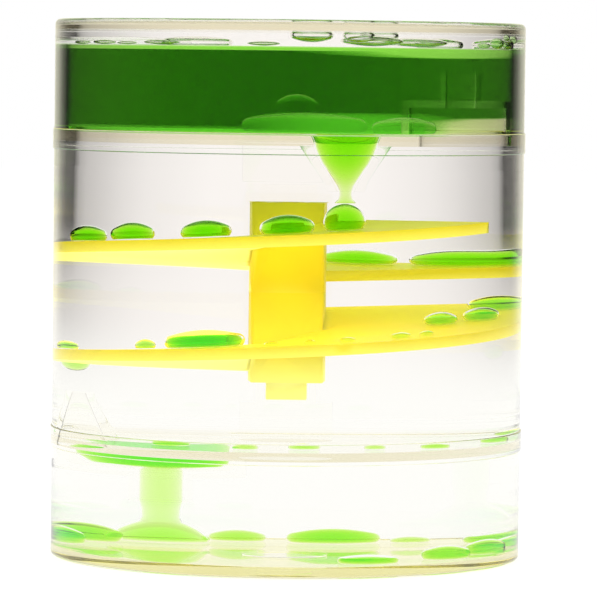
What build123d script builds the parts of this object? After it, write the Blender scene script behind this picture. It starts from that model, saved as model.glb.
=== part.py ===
"""Liquid motion timer: a sealed clear cylinder of three chambers.

Dyed liquid drips from the top chamber through a funnel, rolls as drops down two stacked
spiral ramps in clear oil, and pours through a tube into the bottom chamber. Turned over,
the same pieces do the same work the other way up.

Millimetres, +Z up, origin at the centre of the base. The front of the timer faces -Y.
A bearing is counted from +X, counter-clockwise seen from above, so the front is -90.
"""

from build123d import *
from math import asin, atan2, cos, degrees, radians, sin
import os

# Clear case: two cups, two dividers and a tube, cemented rim to rim
BODY_RADIUS = 40.0
WALL = 1.9
END_WALL = 1.8
CUP_HEIGHT = 18.5
TUBE_LENGTH = 47.0
EDGE_ROUND = 0.9
INNER_ROUND = 0.6

# Divider: a plate in a rim, with a drip funnel, a return cup with its spout, and a boss
RIM_HEIGHT = 3.5
RIM_PROUD = 0.2
RIM_ROUND = 0.4
PLATE = 2.0
FLIP_BEARING = 59.0

FUNNEL_BEARING = 191.0
FUNNEL_INSET = 9.1
FUNNEL_BASE_RADIUS = 7.0
FUNNEL_SHOULDER_RADIUS = 3.6
FUNNEL_TIP_RADIUS = 2.9
FUNNEL_CONE_LENGTH = 5.5
FUNNEL_TIP_LENGTH = 2.0
FUNNEL_MOUTH_RADIUS = 5.4
FUNNEL_BORE_RADIUS = 1.3

RETURN_BEARING = 121.5
RETURN_INSET = 16.1
RETURN_RADIUS = 7.8
RETURN_WALL = 1.2
RETURN_DEPTH = 5.4
SPOUT_RADIUS = 2.8
SPOUT_BORE_RADIUS = 2.0
SPOUT_DROP = 4.5

BOSS_RADIUS = 5.4
BOSS_COLLAR_SIDE = 7.2
BOSS_COLLAR_LENGTH = 3.4

# Spiral: two equal mouldings, each a square post with one helical blade
POST_SIDE = 8.6
POST_LENGTH = 15.1
PEG_SIDE = 4.7
PEG_LENGTH = 2.9
PEG_CLEARANCE = 0.1
BLADE_PITCH = 12.0
BLADE_SWEEP = 270.0
BLADE_THICKNESS = 1.8
BLADE_RIM_CLEARANCE = 0.6
BLADE_DROP = 2.7
BLADE_TOP_BEARING = -31.0
QUARTER_TURN = 90.0

# Filling plug in the base
PLUG_RADIUS = 3.2
PLUG_HEAD_RADIUS = 5.0
PLUG_HEAD = 0.8
PLUG_RECESS = 0.2
PLUG_CLEARANCE = 0.05

# Liquids
FILL_GAP = 0.05
OIL_LAYER = 2.6
DROP_CROWN = 0.68
DROP_SIDE = 0.6
DROP_FILM = 0.1
DROP_SEAT = 0.2
RETURN_POOL_DEPTH = 2.6
NECK_RADIUS = 0.85
NECK_LENGTH = 1.7
NECK_GAP = 0.3
JET_RADIUS = 1.75
JET_LENGTH = 1.6
MOUND_RADIUS = 4.6
MOUND_HEIGHT = 3.0

# Drops on the ramps: bearing, inset from the chamber's wall, radius, height.
# The first drop lies under the funnel and reaches up to its neck.
FIRST_DROP_RADIUS = 3.25
UPPER_DROPS = [
    (-90.2, 8.1, 4.15, 3.0),
    (-114.3, 8.1, 4.0, 2.7),
    (-140.0, 8.1, 3.8, 2.8),
    (-162.0, 8.1, 3.8, 2.6),
    (-281.6, 9.5, 3.2, 2.4),
    (-293.6, 5.8, 3.4, 2.6),
]
LOWER_DROPS = [
    (35.0, 13.1, 2.8, 2.2),
    (-14.0, 18.1, 2.3, 1.9),
    (0.0, 14.1, 2.7, 2.0),
    (-115.5, 9.6, 6.2, 2.8),
    (-130.5, 4.6, 1.8, 1.5),
    (-184.0, 10.1, 2.4, 1.4),
]
RAMP_BEADS = [
    (-51.0, 3.6, 1.3, 0.9),
    (-59.0, 3.6, 1.7, 1.0),
    (-74.0, 3.6, 1.3, 0.8),
    (-84.0, 3.6, 0.9, 0.7),
    (-94.0, 3.6, 1.2, 0.7),
]
# Drop that falls off the lower end of the lower ramp: bearing, inset, radius
FALLING_DROP = (145.0, 13.1, 1.35)

# Drops lying on the lower plate and on the base: bearing, inset, radius, height
PLATE_PUDDLES = [
    (-84.0, 12.1, 2.4, 1.0),
    (-62.0, 10.1, 1.7, 0.8),
    (-102.0, 9.1, 2.0, 0.9),
    (-45.0, 6.1, 2.6, 0.9),
    (-128.0, 11.1, 3.0, 1.0),
    (20.0, 11.1, 2.8, 1.0),
    (-15.0, 7.1, 3.2, 1.1),
]
POOL_DROPS = [
    (149.0, 14.1, 4.2, 3.0),
    (171.0, 10.1, 4.4, 2.6),
    (100.0, 14.1, 2.6, 1.9),
    (78.5, 16.1, 4.3, 2.5),
    (63.0, 13.6, 1.7, 1.0),
    (40.0, 10.1, 5.0, 1.7),
    (12.0, 9.1, 4.2, 1.6),
    (-65.0, 8.1, 4.8, 1.4),
    (-37.0, 8.1, 4.3, 2.2),
    (-17.5, 7.6, 4.4, 2.4),
]

# Clear blobs and bubbles in the top chamber: bearing, inset, radius, height.
# Some bubbles lie on the dyed liquid, the others hang under the end wall.
PLATE_BLOBS = [
    (-80.5, 25.9, 8.5, 3.2),
    (-51.0, 11.1, 5.0, 2.6),
]
RISING_BUBBLE = (-87.0, 18.1, 3.1, 2.9)
LYING_BUBBLES = [
    (-118.0, 8.1, 5.6, 1.5),
    (-44.0, 7.1, 4.2, 1.7),
    (-18.0, 7.1, 4.6, 1.8),
    (12.0, 8.1, 4.0, 2.0),
    (120.0, 10.1, 4.4, 1.5),
]
HANGING_BUBBLES = [
    (-84.0, 7.1, 3.4, 1.9),
    (-71.0, 6.1, 2.6, 2.1),
    (-62.0, 10.1, 3.0, 1.6),
]

# Levels from the base up
INNER_RADIUS = BODY_RADIUS - WALL
LOWER_PLATE_TOP = CUP_HEIGHT + PLATE
TUBE_BOTTOM = CUP_HEIGHT + RIM_HEIGHT
TUBE_TOP = TUBE_BOTTOM + TUBE_LENGTH
UPPER_PLATE_TOP = TUBE_TOP + RIM_HEIGHT
UPPER_PLATE_BOTTOM = UPPER_PLATE_TOP - PLATE
BODY_HEIGHT = UPPER_PLATE_TOP + CUP_HEIGHT
MID_HEIGHT = BODY_HEIGHT / 2
CEILING = BODY_HEIGHT - END_WALL
DYED_LEVEL = CEILING - OIL_LAYER
FUNNEL_LENGTH = FUNNEL_CONE_LENGTH + FUNNEL_TIP_LENGTH
FLIP_AXIS = Axis((0, 0, MID_HEIGHT), (cos(radians(FLIP_BEARING)), sin(radians(FLIP_BEARING)), 0))
UPPER_FUNNEL_BEARING = 2 * FLIP_BEARING - FUNNEL_BEARING
UPPER_RETURN_BEARING = 2 * FLIP_BEARING - RETURN_BEARING


def at(bearing, inset, height):
    """A place at a bearing, an inset from the chamber's wall and a height."""
    distance = INNER_RADIUS - inset
    angle = radians(bearing)
    return Pos(distance * cos(angle), distance * sin(angle), height)


def disc(radius, bottom, top):
    """An upright cylinder between two heights."""
    return Pos(0, 0, bottom) * extrude(Circle(radius), amount=top - bottom)


def block(side, bottom, top):
    """An upright square bar on the axis between two heights."""
    return Pos(0, 0, bottom) * extrude(Rectangle(side, side), amount=top - bottom)


def turned(*points):
    """A solid of revolution about Z from the corners (radius, height) of its half section."""
    return revolve(Plane.XZ * make_face(Polyline(*points, close=True)), Axis.Z)


def cup():
    """A cup standing on its closed end, with rounded edges."""
    solid = disc(BODY_RADIUS, 0, CUP_HEIGHT)
    solid = fillet(solid.edges().group_by(Axis.Z)[0], EDGE_ROUND)
    hollow = disc(INNER_RADIUS, END_WALL, CUP_HEIGHT)
    hollow = fillet(hollow.edges().group_by(Axis.Z)[0], INNER_ROUND)
    return solid - hollow


def divider():
    """The lower divider, in place, with its working side up towards the ramps."""
    plate = disc(BODY_RADIUS + RIM_PROUD, CUP_HEIGHT, TUBE_BOTTOM)
    plate = fillet(plate.edges().filter_by(GeomType.CIRCLE), RIM_ROUND)
    plate -= disc(INNER_RADIUS, LOWER_PLATE_TOP, TUBE_BOTTOM)

    boss_top = MID_HEIGHT - POST_LENGTH
    collar_bottom = boss_top - BOSS_COLLAR_LENGTH
    boss = disc(BOSS_RADIUS, CUP_HEIGHT, collar_bottom)
    boss += block(BOSS_COLLAR_SIDE, collar_bottom, boss_top)
    socket_depth = PEG_LENGTH + PEG_CLEARANCE
    boss -= block(PEG_SIDE + 2 * PEG_CLEARANCE, boss_top - socket_depth, boss_top)

    funnel = turned(
        (0, 0),
        (FUNNEL_BASE_RADIUS, 0),
        (FUNNEL_BASE_RADIUS, PLATE),
        (FUNNEL_SHOULDER_RADIUS, PLATE + FUNNEL_CONE_LENGTH),
        (FUNNEL_TIP_RADIUS, PLATE + FUNNEL_LENGTH),
        (0, PLATE + FUNNEL_LENGTH),
    )
    funnel_bore = turned(
        (0, 0),
        (FUNNEL_MOUTH_RADIUS, 0),
        (FUNNEL_BORE_RADIUS, PLATE + FUNNEL_LENGTH),
        (0, PLATE + FUNNEL_LENGTH),
    )
    funnel_place = at(FUNNEL_BEARING, FUNNEL_INSET, CUP_HEIGHT)

    return_place = at(RETURN_BEARING, RETURN_INSET, CUP_HEIGHT)
    spout_end = -RETURN_DEPTH - SPOUT_DROP
    return_cup = disc(RETURN_RADIUS, -RETURN_DEPTH, 0) + disc(SPOUT_RADIUS, spout_end, 0)
    return_bore = disc(RETURN_RADIUS - RETURN_WALL, RETURN_WALL - RETURN_DEPTH, PLATE)
    return_bore += disc(SPOUT_BORE_RADIUS, spout_end, PLATE)

    solid = plate + boss + funnel_place * funnel + return_place * return_cup
    return solid - funnel_place * funnel_bore - return_place * return_bore


def spiral(turn, base):
    """A post with its blade, the post's foot at a height and the blade turned about the axis."""
    blade_height = BLADE_PITCH * BLADE_SWEEP / 360
    inner = Helix(BLADE_PITCH, blade_height, PEG_SIDE / 2)
    outer = Helix(BLADE_PITCH, blade_height, INNER_RADIUS - BLADE_RIM_CLEARANCE)
    blade = extrude(Face.make_surface_from_curves(inner, outer), BLADE_THICKNESS, (0, 0, -1))
    blade_foot = POST_LENGTH - BLADE_DROP - blade_height
    start = Pos(0, 0, blade_foot) * Rot(0, 0, BLADE_TOP_BEARING - BLADE_SWEEP)
    solid = block(POST_SIDE, 0, POST_LENGTH) + start * blade
    solid += block(PEG_SIDE, -PEG_LENGTH, 0)
    socket_floor = POST_LENGTH - PEG_LENGTH - PEG_CLEARANCE
    solid -= block(PEG_SIDE + 2 * PEG_CLEARANCE, socket_floor, POST_LENGTH)
    return Pos(0, 0, base) * Rot(0, 0, turn) * solid


def drop(radius, height, film=0.0):
    """A drop lying on a flat foot at the origin, grown all round by the film of oil it lies in.

    Its half section is a small arc at the waist that runs smoothly into a wide arc over the crown.
    """
    radius += film
    height += 2 * film
    crown = DROP_CROWN * height
    waist = height - crown
    side = DROP_SIDE * crown
    reach = radius - side
    dome = (reach**2 + crown**2 - side**2) / (2 * (crown - side))
    foot_angle = degrees(asin(waist / side))
    shoulder = degrees(atan2(dome - crown, reach))
    side_arc = CenterArc((reach, waist), side, -foot_angle, foot_angle + shoulder)
    dome_arc = CenterArc((0, height - dome), dome, shoulder, QUARTER_TURN - shoulder)
    foot = Polyline(dome_arc @ 1, (0, 0), side_arc @ 0)
    return Pos(0, 0, -film) * revolve(Plane.XZ * make_face(side_arc + dome_arc + foot), Axis.Z)


def ramp_height(bearing, turn, base):
    """The height of a blade's upper surface at a bearing."""
    start = BLADE_TOP_BEARING + turn
    return base + POST_LENGTH - BLADE_DROP - BLADE_PITCH * (start - bearing) / 360


def ramp_place(bearing, inset, turn, base):
    """A seat on a blade, tilted to its slope, with the drop's own clearance above it."""
    slope = degrees(BLADE_PITCH / 360 / radians(1) / (INNER_RADIUS - inset))
    spot = at(bearing, inset, ramp_height(bearing, turn, base) + DROP_SEAT)
    return spot * Rot(0, 0, bearing) * Rot(slope, 0, 0)


def level_place(bearing, inset, height):
    """A seat on a level surface."""
    return at(bearing, inset, height + FILL_GAP)


def hung_place(bearing, inset, height):
    """A seat against the underside of a level surface."""
    return at(bearing, inset, height - FILL_GAP) * Rot(180, 0, 0)


def rows(table, place, film=0.0):
    """The drops of a table, each set at its place."""
    return [place(row[0], row[1]) * drop(row[2], row[3], film) for row in table]


pieces = {}

# Clear case
pieces["bottom_cup"] = cup()
pieces["top_cup"] = pieces["bottom_cup"].rotate(FLIP_AXIS, 180)
plug_bore = disc(PLUG_HEAD_RADIUS, 0, PLUG_HEAD + PLUG_RECESS)
plug_bore += disc(PLUG_RADIUS, 0, END_WALL)
pieces["bottom_cup"] -= plug_bore
plug = disc(PLUG_HEAD_RADIUS - PLUG_CLEARANCE, PLUG_RECESS, PLUG_RECESS + PLUG_HEAD)
plug += disc(PLUG_RADIUS - PLUG_CLEARANCE, PLUG_RECESS, END_WALL)
pieces["filling_plug"] = plug
pieces["lower_divider"] = divider()
pieces["upper_divider"] = pieces["lower_divider"].rotate(FLIP_AXIS, 180)
pieces["middle_tube"] = disc(BODY_RADIUS, TUBE_BOTTOM, TUBE_TOP) - disc(INNER_RADIUS, TUBE_BOTTOM, TUBE_TOP)

# Spiral ramps
LOWER_BASE = MID_HEIGHT - POST_LENGTH
pieces["upper_spiral"] = spiral(0, MID_HEIGHT)
pieces["lower_spiral"] = spiral(QUARTER_TURN, LOWER_BASE)


def upper_ramp(bearing, inset):
    """A seat on the upper ramp."""
    return ramp_place(bearing, inset, 0, MID_HEIGHT)


def lower_ramp(bearing, inset):
    """A seat on the lower ramp."""
    return ramp_place(bearing, inset, QUARTER_TURN, LOWER_BASE)


def lower_plate(bearing, inset):
    """A seat on the lower divider's plate."""
    return level_place(bearing, inset, LOWER_PLATE_TOP)


def base_floor(bearing, inset):
    """A seat on the floor of the bottom cup."""
    return level_place(bearing, inset, END_WALL)


def upper_plate(bearing, inset):
    """A seat on the upper divider's plate."""
    return level_place(bearing, inset, UPPER_PLATE_TOP)


def dyed_surface(bearing, inset):
    """A seat on the dyed liquid."""
    return level_place(bearing, inset, DYED_LEVEL)


def top_wall(bearing, inset):
    """A seat under the top cup's end wall."""
    return hung_place(bearing, inset, CEILING)


# Drops that travel, each its own piece
neck_end = UPPER_PLATE_BOTTOM - FUNNEL_LENGTH - NECK_LENGTH
first_foot = ramp_height(UPPER_FUNNEL_BEARING, 0, MID_HEIGHT) + DROP_SEAT
first_height = neck_end - NECK_GAP - first_foot
first_drop = (UPPER_FUNNEL_BEARING, FUNNEL_INSET, FIRST_DROP_RADIUS, first_height)
upper_drops = [first_drop, *UPPER_DROPS]
for number, solid in enumerate(rows(upper_drops, upper_ramp), 1):
    pieces[f"upper_drop_{number}"] = solid
for number, solid in enumerate(rows(LOWER_DROPS, lower_ramp), 1):
    pieces[f"lower_drop_{number}"] = solid
fall_bearing, fall_inset, fall_radius = FALLING_DROP
lower_ramp_end = BLADE_TOP_BEARING + QUARTER_TURN - BLADE_SWEEP
fall_height = ramp_height(lower_ramp_end, QUARTER_TURN, LOWER_BASE) - BLADE_THICKNESS
fall_place = at(fall_bearing, fall_inset, fall_height)
pieces["falling_drop"] = fall_place * Sphere(fall_radius)
bubble_bearing, bubble_inset, bubble_radius, bubble_height = RISING_BUBBLE
blob_height = PLATE_BLOBS[0][3]
bubble_place = at(bubble_bearing, bubble_inset, UPPER_PLATE_TOP + blob_height + DROP_SEAT)
pieces["rising_bubble"] = bubble_place * drop(bubble_radius, bubble_height)

# Drops and bubbles that lie still, one group for each floor
pieces["ramp_beads"] = Compound(children=rows(RAMP_BEADS, lower_ramp))
pieces["plate_puddles"] = Compound(children=rows(PLATE_PUDDLES, lower_plate))
pieces["pool_drops"] = Compound(children=rows(POOL_DROPS, base_floor))
pieces["plate_blobs"] = Compound(children=rows(PLATE_BLOBS, upper_plate))
surface_bubbles = rows(LYING_BUBBLES, dyed_surface) + rows(HANGING_BUBBLES, top_wall)
pieces["surface_bubbles"] = Compound(children=surface_bubbles)

# Dyed liquid on its way through the upper funnel, down to the first drop
stream_mouth = FUNNEL_MOUTH_RADIUS - FILL_GAP * 2
stream_tip = FUNNEL_BORE_RADIUS - FILL_GAP * 2
drip_stream = turned(
    (0, 0),
    (stream_mouth, 0),
    (stream_tip, -PLATE - FUNNEL_LENGTH),
    (NECK_RADIUS, -PLATE - FUNNEL_LENGTH - NECK_RADIUS),
    (NECK_RADIUS, -PLATE - FUNNEL_LENGTH - NECK_LENGTH),
    (0, -PLATE - FUNNEL_LENGTH - NECK_LENGTH),
)
pieces["drip_stream"] = at(UPPER_FUNNEL_BEARING, FUNNEL_INSET, UPPER_PLATE_TOP) * drip_stream

# Dyed liquid in the lower return cup, its spout and the jet below it
cup_floor = RETURN_WALL - RETURN_DEPTH + FILL_GAP
jet_top = -RETURN_DEPTH - SPOUT_DROP
mound_foot = END_WALL - CUP_HEIGHT + FILL_GAP
pool_radius = RETURN_RADIUS - RETURN_WALL - FILL_GAP
column_radius = SPOUT_BORE_RADIUS - FILL_GAP
pour_stream = turned(
    (0, cup_floor + RETURN_POOL_DEPTH),
    (pool_radius, cup_floor + RETURN_POOL_DEPTH),
    (pool_radius, cup_floor),
    (column_radius, cup_floor),
    (column_radius, jet_top),
    (JET_RADIUS, jet_top - JET_LENGTH),
    (JET_RADIUS, mound_foot + MOUND_HEIGHT),
    (MOUND_RADIUS, mound_foot),
    (0, mound_foot),
)
pieces["pour_stream"] = at(RETURN_BEARING, RETURN_INSET, CUP_HEIGHT) * pour_stream


def less(solid, *others):
    """A solid with other solids taken out of it, one after the other."""
    for other in others:
        solid -= other
    return solid


# Liquids that fill the three chambers round everything in them
FILL_RADIUS = INNER_RADIUS - FILL_GAP
bubble_void = bubble_place * drop(bubble_radius, bubble_height, DROP_FILM)
pieces["dyed_liquid"] = less(
    disc(FILL_RADIUS, UPPER_PLATE_TOP, DYED_LEVEL),
    pieces["upper_divider"],
    *rows(PLATE_BLOBS, upper_plate, DROP_FILM),
    bubble_void,
)
pieces["upper_oil"] = less(
    disc(FILL_RADIUS, DYED_LEVEL, CEILING - FILL_GAP),
    pieces["top_cup"],
    *rows(LYING_BUBBLES, dyed_surface, DROP_FILM),
    *rows(HANGING_BUBBLES, top_wall, DROP_FILM),
)

pieces["middle_oil"] = less(
    disc(FILL_RADIUS, LOWER_PLATE_TOP, UPPER_PLATE_BOTTOM),
    pieces["lower_divider"],
    pieces["upper_divider"],
    pieces["lower_spiral"],
    pieces["upper_spiral"],
    block(POST_SIDE, LOWER_BASE, MID_HEIGHT + POST_LENGTH),
    block(BOSS_COLLAR_SIDE, LOWER_PLATE_TOP, UPPER_PLATE_BOTTOM),
    *rows(upper_drops, upper_ramp, DROP_FILM),
    *rows(LOWER_DROPS, lower_ramp, DROP_FILM),
    *rows(RAMP_BEADS, lower_ramp, DROP_FILM),
    *rows(PLATE_PUDDLES, lower_plate, DROP_FILM),
    fall_place * Sphere(fall_radius + DROP_FILM),
    pieces["drip_stream"],
)
upper_return = at(UPPER_RETURN_BEARING, RETURN_INSET, UPPER_PLATE_BOTTOM)
pieces["middle_oil"] += upper_return * disc(pool_radius, 0, PLATE - FILL_GAP)
pieces["lower_oil"] = less(
    disc(FILL_RADIUS, END_WALL, CUP_HEIGHT),
    pieces["bottom_cup"],
    pieces["lower_divider"],
    pieces["pour_stream"],
    *rows(POOL_DROPS, base_floor, DROP_FILM),
)

os.makedirs("parts", exist_ok=True)
for name, solid in pieces.items():
    export_step(solid, f"parts/{name}.step")
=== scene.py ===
from math import cos, pi, radians, sin

import bmesh
import bpy
from mathutils import Matrix, Vector


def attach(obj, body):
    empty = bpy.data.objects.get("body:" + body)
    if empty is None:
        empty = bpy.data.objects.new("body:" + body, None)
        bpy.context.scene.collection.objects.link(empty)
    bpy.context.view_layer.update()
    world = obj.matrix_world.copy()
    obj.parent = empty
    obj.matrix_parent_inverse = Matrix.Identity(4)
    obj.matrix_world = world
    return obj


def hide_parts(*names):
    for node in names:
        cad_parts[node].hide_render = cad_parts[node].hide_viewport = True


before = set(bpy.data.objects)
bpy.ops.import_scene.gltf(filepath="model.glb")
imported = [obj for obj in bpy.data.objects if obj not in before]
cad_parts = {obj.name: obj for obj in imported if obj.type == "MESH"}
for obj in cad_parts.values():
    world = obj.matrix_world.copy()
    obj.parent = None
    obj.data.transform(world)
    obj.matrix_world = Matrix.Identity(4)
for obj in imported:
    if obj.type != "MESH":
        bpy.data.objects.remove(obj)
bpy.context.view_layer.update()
scene = bpy.context.scene
scene.view_settings.view_transform = "Standard"
# Light crosses many clear faces on its way through the timer, so it may bounce often.
scene.cycles.max_bounces = 40
scene.cycles.transmission_bounces = 40
scene.cycles.glossy_bounces = 16
scene.cycles.diffuse_bounces = 10


# Bottom cup: a round cup moulded in clear plastic, with the filling hole in the middle of its base.
# Its rim is cemented to the lower divider. The oil wets its inner faces and all but hides them.
# Looked at along its walls and base, the plastic is faintly tan.
class Socket:
    """An output in a node tree. Sums on it add Math nodes, and node() adds any other."""

    def __init__(self, tree, output=None):
        self.tree = tree
        self.output = output

    def node(self, kind, settings=None, inputs=None, output=0):
        """Adds a node with its settings and the values or links of its sockets, and gives an output."""
        made = self.tree.nodes.new(kind)
        for name, value in (settings or {}).items():
            if name == "stops":
                ramp = made.color_ramp
                while len(ramp.elements) < len(value):
                    ramp.elements.new(1.0)
                for element, (place, colour) in zip(ramp.elements, value):
                    element.position = place
                    element.color = colour
            else:
                setattr(made, name, value)
        for key, value in (inputs or {}).items():
            if isinstance(value, Socket):
                self.tree.links.new(value.output, made.inputs[key])
            else:
                made.inputs[key].default_value = value
        return Socket(self.tree, made.outputs[output])

    def beside(self, output):
        """Another output of the same node."""
        return Socket(self.tree, self.output.node.outputs[output])

    def math(self, operation, first, second=0.0):
        return self.node("ShaderNodeMath", {"operation": operation}, {0: first, 1: second})

    def __add__(self, other):
        return self.math("ADD", self, other)

    __radd__ = __add__

    def __sub__(self, other):
        return self.math("SUBTRACT", self, other)

    def __rsub__(self, other):
        return self.math("SUBTRACT", other, self)

    def __mul__(self, other):
        return self.math("MULTIPLY", self, other)

    __rmul__ = __mul__

    def __truediv__(self, other):
        return self.math("DIVIDE", self, other)

    def larger(self, other):
        return self.math("MAXIMUM", self, other)

    def root(self):
        return self.math("SQRT", self)

    def unsigned(self):
        return self.math("ABSOLUTE", self)

    def step(self, start, end):
        """0 before start, 1 after end, smooth between."""
        return self.node(
            "ShaderNodeMapRange", {"interpolation_type": "SMOOTHSTEP"}, {0: self, 1: start, 2: end}
        )

    def toned(self, stops):
        """The colour that this value has on a ramp."""
        return self.node("ShaderNodeValToRGB", {"stops": stops}, {0: self})

    def mix(self, share, first, second):
        """Two colours, with a share of the second."""
        return self.node("ShaderNodeMix", {"data_type": "RGBA"}, {0: share, 6: first, 7: second}, 2)


MM = 0.001
WHITE = (1.0, 1.0, 1.0, 1.0)


def blank(name):
    """A material with only its output, and that output's node."""
    made = bpy.data.materials.new(name)
    made.use_nodes = True
    made.node_tree.nodes.clear()
    return made, made.node_tree.nodes.new("ShaderNodeOutputMaterial")


def clear_finish(name, ior, dye=None, density=0.0, tint=WHITE, ripple=0.0, grain=60.0, haze=0.0):
    """A clear plastic or liquid.

    ior is its index against what it touches, dye what a metre of it lets through at that density.
    ripple is the depth of its waves in millimetres, grain how many lie in a metre, haze its roughness.
    """
    made, end = blank(name)
    nodes = Socket(made.node_tree)
    optics = {"Color": tint, "IOR": ior, "Roughness": haze}
    if ripple:
        place = nodes.node("ShaderNodeTexCoord", output="Object")
        wave = nodes.node("ShaderNodeTexNoise", {}, {"Vector": place, "Scale": grain, "Detail": 3.0})
        optics["Normal"] = nodes.node(
            "ShaderNodeBump", {}, {"Strength": 1.0, "Distance": ripple * MM, "Height": wave}
        )
        if haze:
            optics["Roughness"] = wave * haze
    glass = nodes.node("ShaderNodeBsdfGlass", {}, optics)
    shadow = nodes.node("ShaderNodeLightPath", output="Is Shadow Ray")
    clear = nodes.node("ShaderNodeBsdfTransparent", {}, {"Color": tint})
    surface = nodes.node("ShaderNodeMixShader", {}, {0: shadow, 1: glass, 2: clear})
    made.node_tree.links.new(surface.output, end.inputs["Surface"])
    if dye:
        depth = nodes.node("ShaderNodeVolumeAbsorption", {}, {"Color": dye, "Density": density})
        made.node_tree.links.new(depth.output, end.inputs["Volume"])
    return made


TURN_STEPS = 360


def lathe(profile, steps=TURN_STEPS, place=(0.0, 0.0, 0.0)):
    """A skin turned about Z from its half section, whose points are radius and height in millimetres.

    A section that starts on the axis ends there too. Any other is joined up into a ring.
    """
    shape = bmesh.new()
    points = [shape.verts.new((radius * MM, 0, height * MM)) for radius, height in profile]
    on_axis = profile[0][0] == 0
    ends = points[1:] if on_axis else points[1:] + points[:1]
    lines = [shape.edges.new(pair) for pair in zip(points, ends)]
    bmesh.ops.spin(
        shape, geom=points + lines, cent=(0, 0, 0), axis=(0, 0, 1), angle=2 * pi, steps=steps, use_merge=True
    )
    bmesh.ops.remove_doubles(shape, verts=shape.verts, dist=1e-7)
    bmesh.ops.recalc_face_normals(shape, faces=shape.faces)
    bmesh.ops.translate(shape, verts=shape.verts, vec=Vector(place) * MM)
    return shape


def round_edge(shape, radius, height, size):
    """Rounds the ring edge at a radius and height."""
    ring = [
        edge
        for edge in shape.edges
        if all(abs(v.co.xy.length - radius * MM) + abs(v.co.z - height * MM) < 1e-6 for v in edge.verts)
    ]
    bmesh.ops.bevel(
        shape, geom=ring, offset=size * MM, segments=6, profile=0.5, affect="EDGES", material=-1
    )


def solid(name, shape):
    """An object from a shape."""
    mesh = bpy.data.meshes.new(name)
    shape.to_mesh(mesh)
    shape.free()
    made = bpy.data.objects.new(name, mesh)
    scene.collection.objects.link(made)
    return made


SHARP_CORNER = radians(28)


def fitted(piece, node, materials, pick=None, body="case"):
    """A piece with smooth faces and sharp corners, its finishes, and its place in the assembly."""
    mesh = piece.data
    mesh.materials.clear()
    for material in materials:
        mesh.materials.append(material)
    for face in mesh.polygons:
        face.use_smooth = True
        face.material_index = pick(face) if pick else 0
    mesh.set_sharp_from_angle(angle=SHARP_CORNER)
    piece.modifiers.new("true_normals", "WEIGHTED_NORMAL").keep_sharp = True
    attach(piece, body)
    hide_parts(node)
    return piece


PLASTIC_IOR = 1.49
NO_BEND = 1.0
TAN = (1.0, 0.999, 0.992, 1.0)
UNDERSIDE_TAN = (0.985, 0.985, 0.77, 1.0)
DEPTH_TAN = (0.79, 0.71, 0.33, 1.0)
MOULD_RIPPLE = 0.004
MOULD_GRAIN = 45.0
plastic = clear_finish(
    "clear_plastic", PLASTIC_IOR, tint=TAN, ripple=MOULD_RIPPLE, grain=MOULD_GRAIN, haze=0.01
)
wetted = clear_finish("oil_wetted_plastic", 1.015, tint=TAN, ripple=MOULD_RIPPLE)
underside = clear_finish(
    "base_underside", PLASTIC_IOR, tint=UNDERSIDE_TAN, ripple=MOULD_RIPPLE, grain=MOULD_GRAIN
)
base_core = clear_finish("base_depth", NO_BEND, DEPTH_TAN, 9.0)

CASE_RADIUS = 40
CHAMBER_RADIUS = 38.1
CUP_RIM = 18.48
BASE_TOP = 1.8
HEAD_HOLE = 5
PLUG_HOLE = 3.2
HOLE_STEP = 1.0
INNER_ROUND = 0.6
cup = lathe(
    [
        (HEAD_HOLE, 0), (CASE_RADIUS, 0), (CASE_RADIUS, CUP_RIM), (CHAMBER_RADIUS, CUP_RIM),
        (CHAMBER_RADIUS, BASE_TOP), (PLUG_HOLE, BASE_TOP), (PLUG_HOLE, HOLE_STEP), (HEAD_HOLE, HOLE_STEP),
    ]
)
round_edge(cup, CASE_RADIUS, 0, 0.5)
round_edge(cup, CHAMBER_RADIUS, BASE_TOP, INNER_ROUND)
OUTER_FACES = 39.2 * MM


def cup_face(face):
    """0 for dry outer faces, 1 for those that oil or cement wets, 2 for the underside."""
    reach = face.center.xy.length
    if face.center.z < 0.05 * MM and 5.1 * MM < reach:
        return 2
    return 0 if reach > OUTER_FACES else 1


fitted(solid("clear_bottom_cup", cup), "bottom_cup", [plastic, wetted, underside], cup_face)
# The tint of a clear piece's depth lies in a body of its own, a tenth of a millimetre under its faces.
DEPTH_OUTER = 39.9
DEPTH_INNER = 38.2
base_depth = lathe(
    [
        (5.2, 0.1), (39.5, 0.1), (DEPTH_OUTER, 0.5), (DEPTH_OUTER, 18.4), (DEPTH_INNER, 18.4),
        (DEPTH_INNER, 1.7), (5.2, 1.7),
    ]
)
fitted(solid("depth_bottom_cup", base_depth), "bottom_cup", [base_core])

# Dividers: two equal clear mouldings, the upper one turned over, cemented between cups and tube.
# Each is a plate with a raised rim, a boss with a square socket for the ramps, a bored funnel
# and a return cup with a spout.
NOZZLE_STEPS = 96
CUP_STEPS = 128


def bar(side, bottom, top):
    """An upright square bar on the axis between two heights."""
    shape = bmesh.new()
    bmesh.ops.create_cube(shape, size=MM)
    bmesh.ops.scale(shape, verts=shape.verts, vec=(side, side, top - bottom))
    bmesh.ops.translate(shape, verts=shape.verts, vec=(0, 0, (bottom + top) / 2 * MM))
    return shape


def worked(piece, *steps):
    """A piece after its booleans, each an operation and the shape it takes."""
    tools = []
    for operation, shape in steps:
        tool = solid("tool", shape)
        tools.append(tool)
        cut = piece.modifiers.new("cut", "BOOLEAN")
        cut.operation = operation
        cut.solver = "EXACT"
        cut.object = tool
    graph = bpy.context.evaluated_depsgraph_get()
    mesh = bpy.data.meshes.new_from_object(piece.evaluated_get(graph))
    piece.modifiers.clear()
    piece.data = mesh
    for tool in tools:
        bpy.data.objects.remove(tool)
    return piece


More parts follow.
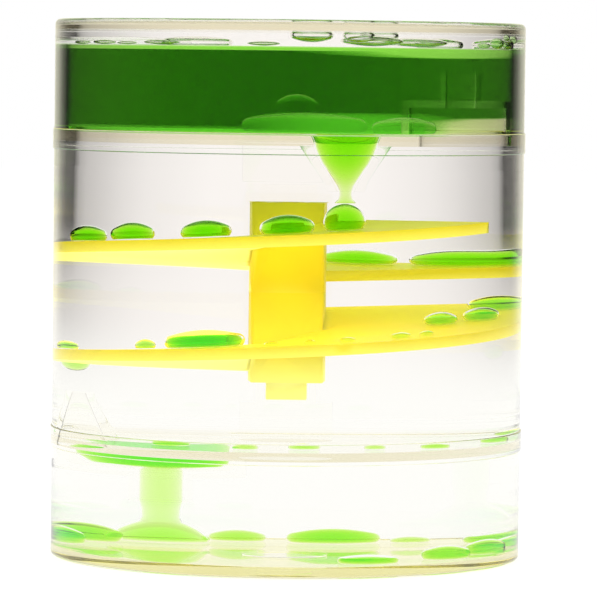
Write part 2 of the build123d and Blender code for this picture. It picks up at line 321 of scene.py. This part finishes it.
def spot_at(bearing, distance, height):
    """A place from its bearing in degrees, its distance from the axis and its height."""
    return distance * cos(radians(bearing)), distance * sin(radians(bearing)), height


RIM_RADIUS = 40.2
RIM_BOTTOM = 18.5
RIM_TOP = 22
RIM_ROUND = 0.15
PLATE_BOTTOM = 19
PLATE_TOP = 20.5
FUNNEL_PLACE = spot_at(191, 29, RIM_BOTTOM)
RETURN_PLACE = spot_at(121.5, 22, RIM_BOTTOM)
BOSS = [(0, PLATE_BOTTOM), (5.4, PLATE_BOTTOM), (5.4, 27), (0, 27)]
FUNNEL = [(0, 0.5), (7, 0.5), (7, 2), (3.6, 7.5), (2.9, 9.5), (0, 9.5)]
FUNNEL_BORE = [(0, -1), (5.955, -1), (1.3, 9.5), (1.3, 10), (0, 10)]
RETURN_CUP = [(0, 0.8), (7.8, 0.8), (7.8, -5.4), (0, -5.4)]
RETURN_BORE = [(0, 3), (6.6, 3), (6.6, -4.2), (0, -4.2)]
SPOUT = [(0, -5), (2.8, -5), (2.8, -9.9), (0, -9.9)]
SPOUT_BORE = [(0, -4), (2, -4), (2, -10.5), (0, -10.5)]
plate = lathe(
    [
        (0, PLATE_BOTTOM), (37.6, PLATE_BOTTOM), (37.9, RIM_BOTTOM), (RIM_RADIUS, RIM_BOTTOM),
        (RIM_RADIUS, RIM_TOP), (CHAMBER_RADIUS, RIM_TOP), (CHAMBER_RADIUS, PLATE_TOP), (0, PLATE_TOP),
    ]
)
round_edge(plate, RIM_RADIUS, RIM_BOTTOM, RIM_ROUND)
round_edge(plate, RIM_RADIUS, RIM_TOP, RIM_ROUND)
divider = worked(
    solid("clear_lower_divider", plate),
    ("UNION", lathe(BOSS, NOZZLE_STEPS)),
    ("UNION", bar(7.2, 26.5, 30.4)),
    ("UNION", lathe(FUNNEL, NOZZLE_STEPS, FUNNEL_PLACE)),
    ("UNION", lathe(RETURN_CUP, CUP_STEPS, RETURN_PLACE)),
    ("UNION", lathe(SPOUT, NOZZLE_STEPS, RETURN_PLACE)),
    ("DIFFERENCE", bar(4.9, 27.4, 31)),
    ("DIFFERENCE", lathe(FUNNEL_BORE, NOZZLE_STEPS, FUNNEL_PLACE)),
    ("DIFFERENCE", lathe(RETURN_BORE, CUP_STEPS, RETURN_PLACE)),
    ("DIFFERENCE", lathe(SPOUT_BORE, NOZZLE_STEPS, RETURN_PLACE)),
)
HALF_HEIGHT = 45.5
FLIP = (
    Matrix.Translation((0, 0, HALF_HEIGHT * MM))
    @ Matrix.Rotation(pi, 4, Vector(spot_at(59, 1, 0)))
    @ Matrix.Translation((0, 0, -HALF_HEIGHT * MM))
)
upper_divider = bpy.data.objects.new("clear_upper_divider", divider.data.copy())
upper_divider.data.transform(FLIP)
scene.collection.objects.link(upper_divider)
RIM_FACES = 39.3 * MM


def lower_face(face):
    """0 for the dry rim, 1 for faces in oil or cement."""
    return 0 if face.center.xy.length > RIM_FACES else 1


def upper_face(face):
    """0 for the dry rim, 1 for faces in oil, 2 for the nozzle in the dyed liquid, 3 for the plate's top."""
    if face.center.xy.length > RIM_FACES:
        return 0
    if face.center.z > 72.55 * MM:
        return 2
    return 3 if face.center.z > 71.9 * MM else 1


hidden = clear_finish("oil_wetted_divider", 1.01, tint=TAN, ripple=MOULD_RIPPLE)
outlined = clear_finish("dye_wetted_divider", 1.05, tint=TAN, ripple=MOULD_RIPPLE)
matched = clear_finish("dye_covered_plate", NO_BEND, tint=TAN)
core = clear_finish("plastic_depth", NO_BEND, DEPTH_TAN, 10.0)
fitted(divider, "lower_divider", [plastic, hidden], lower_face)
fitted(upper_divider, "upper_divider", [plastic, hidden, outlined, matched], upper_face)
PLATE_DEPTH = [
    (0, 19.1), (37.7, 19.1), (38.0, 18.6), (39.8, 18.6), (39.8, 21.9), (DEPTH_INNER, 21.9),
    (DEPTH_INNER, 20.4), (0, 20.4),
]
for node, turn in (("lower_divider", Matrix()), ("upper_divider", FLIP)):
    plate_depth = solid("depth_" + node, lathe(PLATE_DEPTH))
    plate_depth.data.transform(turn)
    fitted(plate_depth, node, [core])

# Middle tube: a plain length of clear tube, open at both ends.
# Its ends are cemented to the rims of the two dividers.
TUBE_BOTTOM = 22.02
TUBE_TOP = 68.98
tube = lathe(
    [
        (CASE_RADIUS, TUBE_BOTTOM), (CASE_RADIUS, TUBE_TOP), (CHAMBER_RADIUS, TUBE_TOP),
        (CHAMBER_RADIUS, TUBE_BOTTOM),
    ]
)


def tube_face(face):
    """0 for the dry outside, 1 for faces in oil or cement."""
    return 0 if face.center.xy.length > OUTER_FACES else 1


fitted(solid("clear_middle_tube", tube), "middle_tube", [plastic, wetted], tube_face)
tube_depth = lathe([(DEPTH_INNER, 22.1), (DEPTH_OUTER, 22.1), (DEPTH_OUTER, 68.9), (DEPTH_INNER, 68.9)])
fitted(solid("depth_middle_tube", tube_depth), "middle_tube", [core])


# Spiral ramps: two equal yellow mouldings, each a square post with one helical blade.
# The peg of one sits in the socket of the next. The plastic is glossy and lets some light through.
# Undersides, the foot of the lower post and the blades' lower edges are painted paler, with a painted glow:
# painted light in place of the light from below. The rest of the plastic has a faint painted glow.
def smooth_copy(name, node, materials, shrink=0.0, pick=None, body="case"):
    """A CAD node's shape with one smooth skin, which rides in the node's place."""
    shape = bmesh.new()
    shape.from_mesh(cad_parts[node].data)
    bmesh.ops.remove_doubles(shape, verts=shape.verts, dist=1e-6)
    piece = solid(name, shape)
    if shrink:
        film = piece.modifiers.new("film", "DISPLACE")
        film.strength = -shrink
        film.mid_level = 0.0
    return fitted(piece, node, materials, pick, body)


# Painted light: a paler yellow and a stronger painted glow on undersides, the lower foot and blade edges.
YELLOW = [(0.3, (0.82, 0.65, 0.015, 1.0)), (0.7, (0.88, 0.74, 0.025, 1.0))]
PAINTED_LIGHT_YELLOW = (1.0, 0.93, 0.2, 1.0)
FAINT_PAINTED_GLOW = (0.28, 0.28, 0.03, 1.0)
BRIGHT_PAINTED_GLOW = (2.0, 1.95, 0.55, 1.0)
EDGE_PAINTED_LIGHT = 0.35
ramp, ramp_end = blank("yellow_plastic")
ramp_nodes = Socket(ramp.node_tree)
ramp_place = ramp_nodes.node("ShaderNodeTexCoord", output="Object")
flow = ramp_nodes.node("ShaderNodeTexNoise", {}, {"Vector": ramp_place, "Scale": 90.0, "Detail": 4.0})
pits = ramp_nodes.node("ShaderNodeTexNoise", {}, {"Vector": ramp_place, "Scale": 1500.0, "Detail": 2.0})
facing = ramp_nodes.node("ShaderNodeNewGeometry", output="Normal")
upward = ramp_nodes.node("ShaderNodeSeparateXYZ", {}, {0: facing}, "Z")
height = ramp_nodes.node("ShaderNodeSeparateXYZ", {}, {0: ramp_place}, "Z")
edge = ramp_nodes.node("ShaderNodeAttribute", {"attribute_name": "below"}, {}, "Fac")
under = 1.0 - upward.step(-0.9, -0.2)
foot = 1.0 - height.step(0.027, 0.037)
painted_light = under.larger(foot).larger(edge * EDGE_PAINTED_LIGHT)
moulded = ramp_nodes.node(
    "ShaderNodeBsdfPrincipled",
    {},
    {
        "Base Color": ramp_nodes.mix(painted_light, flow.toned(YELLOW), PAINTED_LIGHT_YELLOW),
        "Roughness": flow * 0.2 + 0.3,
        "IOR": 1.1,
        "Emission Color": ramp_nodes.mix(painted_light, FAINT_PAINTED_GLOW, BRIGHT_PAINTED_GLOW),
        "Emission Strength": 0.3,
        "Normal": ramp_nodes.node(
            "ShaderNodeBump", {}, {"Strength": 0.3, "Distance": 0.00005, "Height": pits}
        ),
    },
)
ramp.node_tree.links.new(moulded.output, ramp_end.inputs["Surface"])
POST_REACH = 6.5 * MM
BLADE_START = 7 * MM
# The attribute below marks the blades' lower edges, which take part of the painted light.
for node in ("upper_spiral", "lower_spiral"):
    mesh = smooth_copy("yellow_" + node, node, [ramp]).data
    below = mesh.attributes.new("below", "FLOAT", "POINT")
    for face in mesh.polygons:
        if face.normal.z < -0.5 and face.center.xy.length > POST_REACH:
            for corner in face.vertices:
                if mesh.vertices[corner].co.xy.length > BLADE_START:
                    below.data[corner].value = 1.0

# Top cup: the same moulding as the bottom cup, turned over, without the hole.
# It is cemented to the upper divider. Dyed liquid wets its wall up to the surface, and oil the rest.
CASE_HEIGHT = 91
CEILING = 89.2
LID_RIM = 72.52
DYE_LEVEL = 86.6
lid = lathe(
    [
        (0, CASE_HEIGHT), (CASE_RADIUS, CASE_HEIGHT), (CASE_RADIUS, LID_RIM), (CHAMBER_RADIUS, LID_RIM),
        (CHAMBER_RADIUS, DYE_LEVEL), (CHAMBER_RADIUS, CEILING), (0, CEILING),
    ]
)
round_edge(lid, CASE_RADIUS, CASE_HEIGHT, 0.9)
round_edge(lid, CHAMBER_RADIUS, CEILING, INNER_ROUND)


def lid_face(face):
    """0 for dry outer faces, 1 for those in dyed liquid, 2 for those in oil or cement."""
    if face.center.xy.length > OUTER_FACES or face.center.z > 90 * MM:
        return 0
    return 1 if 72.6 * MM < face.center.z < DYE_LEVEL * MM else 2


soaked = clear_finish("dye_wetted_plastic", 1.08, tint=TAN, ripple=MOULD_RIPPLE)
fitted(solid("clear_top_cup", lid), "top_cup", [plastic, soaked, wetted], lid_face)
lid_depth = lathe(
    [
        (0, 89.3), (DEPTH_INNER, 89.3), (DEPTH_INNER, 72.6), (DEPTH_OUTER, 72.6), (DEPTH_OUTER, 90.2),
        (39.2, 90.9), (0, 90.9),
    ]
)
fitted(solid("depth_top_cup", lid_depth), "top_cup", [core])

# Filling plug: a clear stepped disc that closes the hole in the base once the liquids are in.
# Its head lies just inside the base, and it is cemented in.
HEAD_RADIUS = 4.95
HEAD_BOTTOM = 0.2
PLUG = [
    (0, HEAD_BOTTOM), (HEAD_RADIUS, HEAD_BOTTOM), (HEAD_RADIUS, 0.98), (3.15, 0.98), (3.15, 1.78),
    (0, 1.78),
]
plug = lathe(PLUG, NOZZLE_STEPS)
round_edge(plug, HEAD_RADIUS, HEAD_BOTTOM, 0.2)


def plug_face(face):
    """0 for the dry underside, 1 for faces in oil or cement."""
    return 0 if face.normal.z < -0.5 and face.center.z < 0.5 * MM else 1


fitted(solid("clear_filling_plug", plug), "filling_plug", [plastic, wetted], plug_face)


# Dyed liquid: the green fill of the top chamber, its drops on the ramps, its streams and pools.
# Over the upper plate lies a paler layer of it, heaped up in the middle: painted light from below.
# A thin paler layer lies at its surface as a painted highlight. The dyed liquid runs down through the funnel
# as a drip and parts into drops.
def heap(profile, place, depth, turn, grow=0.0):
    """A flat heap turned from its half section, drawn out in depth, turned about Z and cut to the wall.

    With grow it is the slightly larger shape that is cut out of the liquid round it.
    """
    shape = lathe(profile, 160)
    bmesh.ops.scale(shape, verts=shape.verts, vec=(1 + grow, depth * (1 + grow), 1))
    bmesh.ops.rotate(
        shape, verts=shape.verts, cent=(0, 0, 0), matrix=Matrix.Rotation(radians(turn), 3, "Z")
    )
    bmesh.ops.translate(shape, verts=shape.verts, vec=Vector((*place, grow * 10)) * MM)
    bottom = 72.08 - 80 * grow
    reach = 37.5 + 30 * grow
    wall = lathe([(0, bottom), (reach, bottom), (reach, SKIN_TOP), (0, SKIN_TOP)])
    piece = worked(solid("heap", shape), ("INTERSECT", wall))
    cut = bmesh.new()
    cut.from_mesh(piece.data)
    bpy.data.objects.remove(piece)
    return cut


DYE_RADIUS = 38.05
FILL_BOTTOM = 72.98
FILL_TOP = 86.0
SKIN_BOTTOM = 86.03
SKIN_TOP = 86.58
HEAP_GAP = 0.003
MIDDLE_HEAP = (
    [(0, 75.6), (9, 75.5), (11.5, 75.0), (12.6, 74.0), (12.9, 73.0), (12.6, 71.7), (0, 71.7)],
    (7, 2), 2.6, 0.0,
)
RIGHT_HEAP = (
    [(0, 75.0), (9, 74.9), (12.6, 74.4), (13.4, 73.4), (13, 71.7), (0, 71.7)],
    (30, 0), 3.0, 13.0,
)
SURFACE_LENS = (
    [(0, 88), (15.2, 88), (15, 86.1), (12.5, 85.5), (8, 85.05), (0, 84.8)],
    (19, 0), 4.0, 13.0,
)
CUP_WALL = [
    (6.55, 0.2), (7.85, 0.2), (7.85, -5.45), (2.85, -5.45), (2.85, -9.95), (1.95, -9.95),
    (1.95, -4.15), (6.55, -4.15),
]
dyed = clear_finish("dyed_liquid", NO_BEND, (0.3, 0.66, 0.0, 1.0), 80.0)
painted_underlight_dye = clear_finish("dye_painted_underlight", NO_BEND, (0.4, 0.87, 0.0, 1.0), 53.0)
painted_highlight_dye = clear_finish("dye_painted_surface_highlight", NO_BEND, (0.5, 0.9, 0.0, 1.0), 36.0)
cup_wall = lathe(CUP_WALL, CUP_STEPS, RETURN_PLACE)
bmesh.ops.transform(cup_wall, matrix=FLIP, space=Matrix(), verts=cup_wall.verts)
fill = lathe([(0, FILL_BOTTOM), (DYE_RADIUS, FILL_BOTTOM), (DYE_RADIUS, FILL_TOP), (0, FILL_TOP)])
bath = worked(
    solid("green_fill", fill),
    ("DIFFERENCE", cup_wall),
    ("DIFFERENCE", heap(*MIDDLE_HEAP, HEAP_GAP)),
    ("DIFFERENCE", heap(*RIGHT_HEAP, HEAP_GAP)),
    ("DIFFERENCE", heap(*SURFACE_LENS, HEAP_GAP)),
)
fitted(bath, "dyed_liquid", [dyed])
# The plate layer: a paler green, painted light from below.
sheet = lathe([(0, 72.05), (37.5, 72.05), (37.8, 72.53), (38, 72.53), (38, 72.95), (0, 72.95)])
mix = worked(
    solid("green_painted_underlight", sheet),
    ("UNION", heap(*MIDDLE_HEAP)),
    ("DIFFERENCE", heap(*RIGHT_HEAP, HEAP_GAP)),
)
fitted(mix, "dyed_liquid", [painted_underlight_dye])
# The surface layer: a paler green, a painted highlight.
layer = lathe([(0, SKIN_BOTTOM), (DYE_RADIUS, SKIN_BOTTOM), (DYE_RADIUS, SKIN_TOP), (0, SKIN_TOP)])
skin = worked(solid("green_skin", layer), ("UNION", heap(*SURFACE_LENS)))
fitted(skin, "dyed_liquid", [painted_highlight_dye])


def liquid_finish(name, ior, dye=None, density=0.0):
    """A drop or stream, whose skin waves slightly."""
    return clear_finish(name, ior, dye, density, ripple=0.01, grain=120.0)


dyed_drop = liquid_finish("dyed_drops", 0.945, (0.71, 0.969, 0.0, 1.0), 800.0)
for blade, count in (("upper", 7), ("lower", 6)):
    for number in range(1, count + 1):
        drop = f"{blade}_drop_{number}"
        smooth_copy(f"green_{blade}_{number}", drop, [dyed_drop], body=drop)
smooth_copy("green_falling", "falling_drop", [dyed_drop], body="falling_drop")
pooled = liquid_finish("dyed_pool", 0.985, (0.7, 0.976, 0.0, 1.0), 500.0)
FILM = 0.03 * MM
for node in ("ramp_beads", "plate_puddles", "pool_drops"):
    smooth_copy("green_" + node, node, [pooled], FILM)
dripping = liquid_finish("dyed_drip", 0.975, (0.705, 0.97, 0.0, 1.0), 560.0)
DRIP_PLACE = spot_at(-73, 29, 72.5)
DRIP = [
    (0, -0.5), (5.25, -0.5), (4.9, -1.5), (4.3, -3.2), (3.5, -4.9), (2.6, -6.3), (1.8, -7.6),
    (1.2, -8.6), (0.95, -9.4), (0.9, -10.1), (1.1, -10.8), (1.6, -11.3), (1.5, -11.4), (0, -11.4),
]
fitted(solid("green_drip", lathe(DRIP, CUP_STEPS, DRIP_PLACE)), "drip_stream", [dripping])
gathered = liquid_finish("dyed_return", 0.97, (0.645, 0.973, 0.0, 1.0), 480.0)
RETURN_POOL = [(0, -0.6), (6.1, -0.6), (6.5, -1.0), (6.4, -2.6), (5.8, -3.6), (4.6, -4.15), (0, -4.2)]
bowl = solid("green_return_pool", lathe(RETURN_POOL, CUP_STEPS, RETURN_PLACE))
fitted(bowl, "pour_stream", [gathered])
poured = liquid_finish("dyed_stream", 0.97, (0.683, 0.99, 0.0, 1.0), 300.0)
POUR = [
    (0, -4.25), (2.3, -4.25), (1.95, -4.7), (1.95, -9.8), (1.75, -11.2), (1.7, -12.6), (1.9, -13.4),
    (2.6, -13.9), (3.4, -14.6), (4.1, -15.5), (4.5, -16.2), (4.4, -16.6), (0, -16.6),
]
fitted(solid("green_pour", lathe(POUR, CUP_STEPS, RETURN_PLACE)), "pour_stream", [poured])

# Clear oil: fills the middle and bottom chambers and floats on the dyed liquid in the top one.
# It comes up through the return cups as blobs. Some lie on the upper plate, round a wide clear heap,
# and one rises through the dyed liquid.
OIL_RADIUS = 38.07
still_oil = clear_finish("still_oil", NO_BEND)
floating = clear_finish("oil_on_dye", 1.066)
upper_oil = lathe([(0, 86.62), (DYE_RADIUS, 86.62), (DYE_RADIUS, 89.17), (0, 89.17)])
round_edge(upper_oil, DYE_RADIUS, 89.17, INNER_ROUND)


def layer_face(face):
    """1 for the face that lies on the dyed liquid."""
    return 1 if face.normal.z < -0.3 else 0


fitted(solid("oil_upper", upper_oil), "upper_oil", [still_oil, floating], layer_face)
middle_oil = lathe([(0, 20.53), (OIL_RADIUS, 20.53), (OIL_RADIUS, 70.47), (0, 70.47)])
fitted(solid("oil_middle", middle_oil), "middle_oil", [still_oil])
lower_oil = lathe([(0, 1.83), (OIL_RADIUS, 1.83), (OIL_RADIUS, 18.47), (0, 18.47)])
round_edge(lower_oil, OIL_RADIUS, 1.83, INNER_ROUND)
fitted(solid("oil_lower", lower_oil), "lower_oil", [still_oil])
tinged_oil = clear_finish("oil_under_dye", NO_BEND, (0.78, 0.85, 0.0, 1.0), 13.0)
fitted(solid("oil_heap", heap(*RIGHT_HEAP)), "plate_blobs", [tinged_oil])
smooth_copy("oil_blobs", "plate_blobs", [liquid_finish("oil_in_dye", 1.015)])
rising_oil = liquid_finish("oil_rising", 1.03)
smooth_copy("oil_rising", "rising_bubble", [rising_oil], body="rising_bubble")

# Bubbles in the clear layer: air that was left in when the timer was filled.
# Some lie flat on the dyed liquid, the others hang under the top wall.
# A few stray drops of dyed liquid float among them.
air = liquid_finish("hanging_bubble", 0.83)
thin = liquid_finish("lying_bubble", 0.91)
stray = liquid_finish("dyed_stray", 0.95, (0.45, 0.93, 0.0, 1.0), 330.0)


def bubble_face(face):
    """0 for the hanging bubbles, which are the ones close to the front, 1 for the others."""
    return 0 if -4 * MM < face.center.x < 16 * MM and face.center.y < -22 * MM else 1


def lens_drops(name, rows, node, material):
    """Flat round drops, each from its bearing and distance, its radius and half height, and its level."""
    shape = bmesh.new()
    for bearing, distance, radius, half, middle in rows:
        place = Matrix.Translation(Vector(spot_at(bearing, distance, middle)) * MM)
        size = Matrix.Diagonal((radius, radius, half, 1))
        bmesh.ops.create_uvsphere(shape, u_segments=48, v_segments=24, radius=MM, matrix=place @ size)
    fitted(solid(name, shape), node, [material])


FLAT_BUBBLES = [
    (-67, 32, 5.0, 0.95, 87.65), (-53, 31.5, 5.4, 0.8, 87.5), (-156, 35, 2.0, 0.35, 87.0),
    (-146, 34.5, 2.4, 0.4, 87.05), (-137, 34.5, 1.9, 0.3, 86.95), (-126, 34, 3.0, 0.45, 87.1),
    (-97, 34, 2.6, 0.4, 87.05),
]
STRAY_DROPS = [
    (-30, 34, 1.5, 0.5, 87.15), (-23, 34, 1.7, 0.9, 87.6), (-15, 33.5, 1.6, 0.8, 87.5),
    (-10, 33, 1.3, 0.7, 88.3), (-19, 35, 1.0, 0.5, 88.6),
]
lens_drops("air_flat_bubbles", FLAT_BUBBLES, "surface_bubbles", thin)
lens_drops("green_stray_drops", STRAY_DROPS, "dyed_liquid", stray)
smooth_copy("air_bubbles", "surface_bubbles", [air, thin], FILM, bubble_face)

# Pale floor: a wide white table, which keeps the timer's soft shadow.
# Seen through the clear case or mirrored in it, its far sides carry painted shade, darker as the room's
# sides are.
FLOOR_RADIUS = 3.0
FLOOR_DROP = 0.00005
floor_shape = bmesh.new()
bmesh.ops.create_circle(floor_shape, cap_ends=True, segments=64, radius=FLOOR_RADIUS)
bmesh.ops.translate(floor_shape, verts=floor_shape.verts, vec=(0, 0, -FLOOR_DROP))
floor = solid("floor", floor_shape)
SIDE_TINT = (1.0, 0.965, 0.965)
BACK_TINT = (1.0, 0.97, 0.8)


def tones(stops, tint):
    """A colour ramp's stops from places and grey tones, with a tint."""
    return [(place, (*[tone * share for share in tint], 1.0)) for place, tone in stops]


SIDE_TONES = tones(
    [
        (0.2, 1.0), (0.4, 0.9), (0.5, 0.8), (0.565, 0.72), (0.623, 0.66), (0.694, 0.59), (0.745, 0.45),
        (0.77, 0.22), (0.79, 0.04),
    ],
    SIDE_TINT,
)
NEAR_TONES = tones(
    [(0.2, 1.0), (0.4, 0.95), (0.565, 0.86), (0.694, 0.76), (0.775, 0.7), (0.86, 0.66)], SIDE_TINT
)
BACK_TONES = tones([(0.5, 0.02), (0.82, 0.02), (0.88, 0.08), (0.92, 0.5), (0.955, 1.0)], BACK_TINT)
table, table_end = blank("white_table")
table_nodes = Socket(table.node_tree)
seen = table_nodes.node("ShaderNodeLightPath", output="Is Camera Ray")
glossy = seen.beside("Is Glossy Ray")
passing = seen.beside("Is Transmission Ray")
within = seen.beside("Transmission Depth").step(0.4, 0.6)
table_place = table_nodes.node("ShaderNodeTexCoord", output="Object")
reach_x = table_nodes.node("ShaderNodeSeparateXYZ", {}, {0: table_place}, "X")
reach_y = reach_x.beside("Y")
reach = (reach_x * reach_x + reach_y * reach_y + 1e-6).root()
bearing = (reach_x / reach).unsigned()
# Painted shade on the far floor by bearing, for rays through the case and for its mirror.
far_side_shade = table_nodes.mix(reach.step(0.9, 1.7), bearing.toned(NEAR_TONES), bearing.toned(SIDE_TONES))
painted_side_shade = table_nodes.mix(reach.step(0.3, 0.8), WHITE, far_side_shade)
mirrored_painted_shade = table_nodes.mix(
    reach.step(0.3, 1.2), WHITE, (reach_y / reach * 0.5 + 0.5).toned(BACK_TONES)
)
table_tone = table_nodes.mix(
    glossy * (1.0 - within), table_nodes.mix(within, WHITE, painted_side_shade), mirrored_painted_shade
)
matt = table_nodes.node("ShaderNodeBsdfDiffuse", {}, {"Color": table_tone})
lit = table_nodes.node("ShaderNodeEmission", {}, {"Color": table_tone, "Strength": 1.0})
lit_share = (seen + glossy + passing) * 0.75
spread = table_nodes.node("ShaderNodeMixShader", {}, {0: lit_share, 1: matt, 2: lit})
table.node_tree.links.new(spread.output, table_end.inputs["Surface"])
floor.data.materials.append(table)

# Soft studio light: an even white room, with darker sides that draw the edges of the clear case.
# Three soft boxes, two in front and one behind, light the yellow mouldings and stay out of the mirror.
world = bpy.data.worlds.new("studio")
scene.world = world
world.use_nodes = True
world.node_tree.nodes.clear()
room = Socket(world.node_tree)
way = room.node("ShaderNodeTexCoord", output="Generated")
across = room.node("ShaderNodeSeparateXYZ", {}, {0: way}, "X")
along = across.beside("Y")
level = (across * across + along * along + 1e-6).root()
side = (across / level).unsigned().toned(SIDE_TONES)
behind = (along / level * 0.5 + 0.5).toned(BACK_TONES)
raised = across.beside("Z").step(0.02, 0.06)
mirror_ray = room.node("ShaderNodeLightPath", output="Is Glossy Ray")
inside = mirror_ray.beside("Transmission Depth").step(0.4, 0.6)
through = room.mix(inside, WHITE, room.mix(raised, side, WHITE))
room_tone = room.mix(mirror_ray * (1.0 - inside), through, behind)
sky = room.node("ShaderNodeBackground", {}, {"Color": room_tone, "Strength": 1.0})
sky_end = world.node_tree.nodes.new("ShaderNodeOutputWorld")
world.node_tree.links.new(sky.output, sky_end.inputs["Surface"])

LAMP_PLACES = [(-0.9, -1.2, 0.9), (0.9, -1.2, 0.9), (0.0, 0.9, 1.3)]
LAMP_POWER = 8.0
LAMP_SIZE = 0.8
LAMP_AIM = Vector((0, 0, 0.045))
for number, place in enumerate(LAMP_PLACES):
    box = bpy.data.lights.new(f"softbox_{number}", "AREA")
    box.energy = LAMP_POWER
    box.size = LAMP_SIZE
    lamp = bpy.data.objects.new(f"softbox_{number}", box)
    lamp.location = place
    lamp.rotation_mode = "QUATERNION"
    lamp.rotation_quaternion = (LAMP_AIM - Vector(place)).to_track_quat("-Z", "Y")
    lamp.visible_glossy = False
    lamp.visible_transmission = False
    lamp.visible_camera = False
    scene.collection.objects.link(lamp)

# Camera: a long lens level with the top chamber, which looks a little down on the timer's middle.
# The frame leans by less than a degree.
EYE = Vector((0.0, -0.79, 0.0835))
TARGET = Vector((0.0019, 0.0, 0.0438))
ROLL = 0.7
view = bpy.data.cameras.new("view")
view.lens = 279.3
view.sensor_width = 36.0
view.clip_start = 0.05
view.clip_end = 20.0
camera = bpy.data.objects.new("camera", view)
scene.collection.objects.link(camera)
aim = (TARGET - EYE).to_track_quat("-Z", "Y").to_matrix().to_4x4()
camera.matrix_world = Matrix.Translation(EYE) @ aim @ Matrix.Rotation(radians(ROLL), 4, "Z")
scene.camera = camera
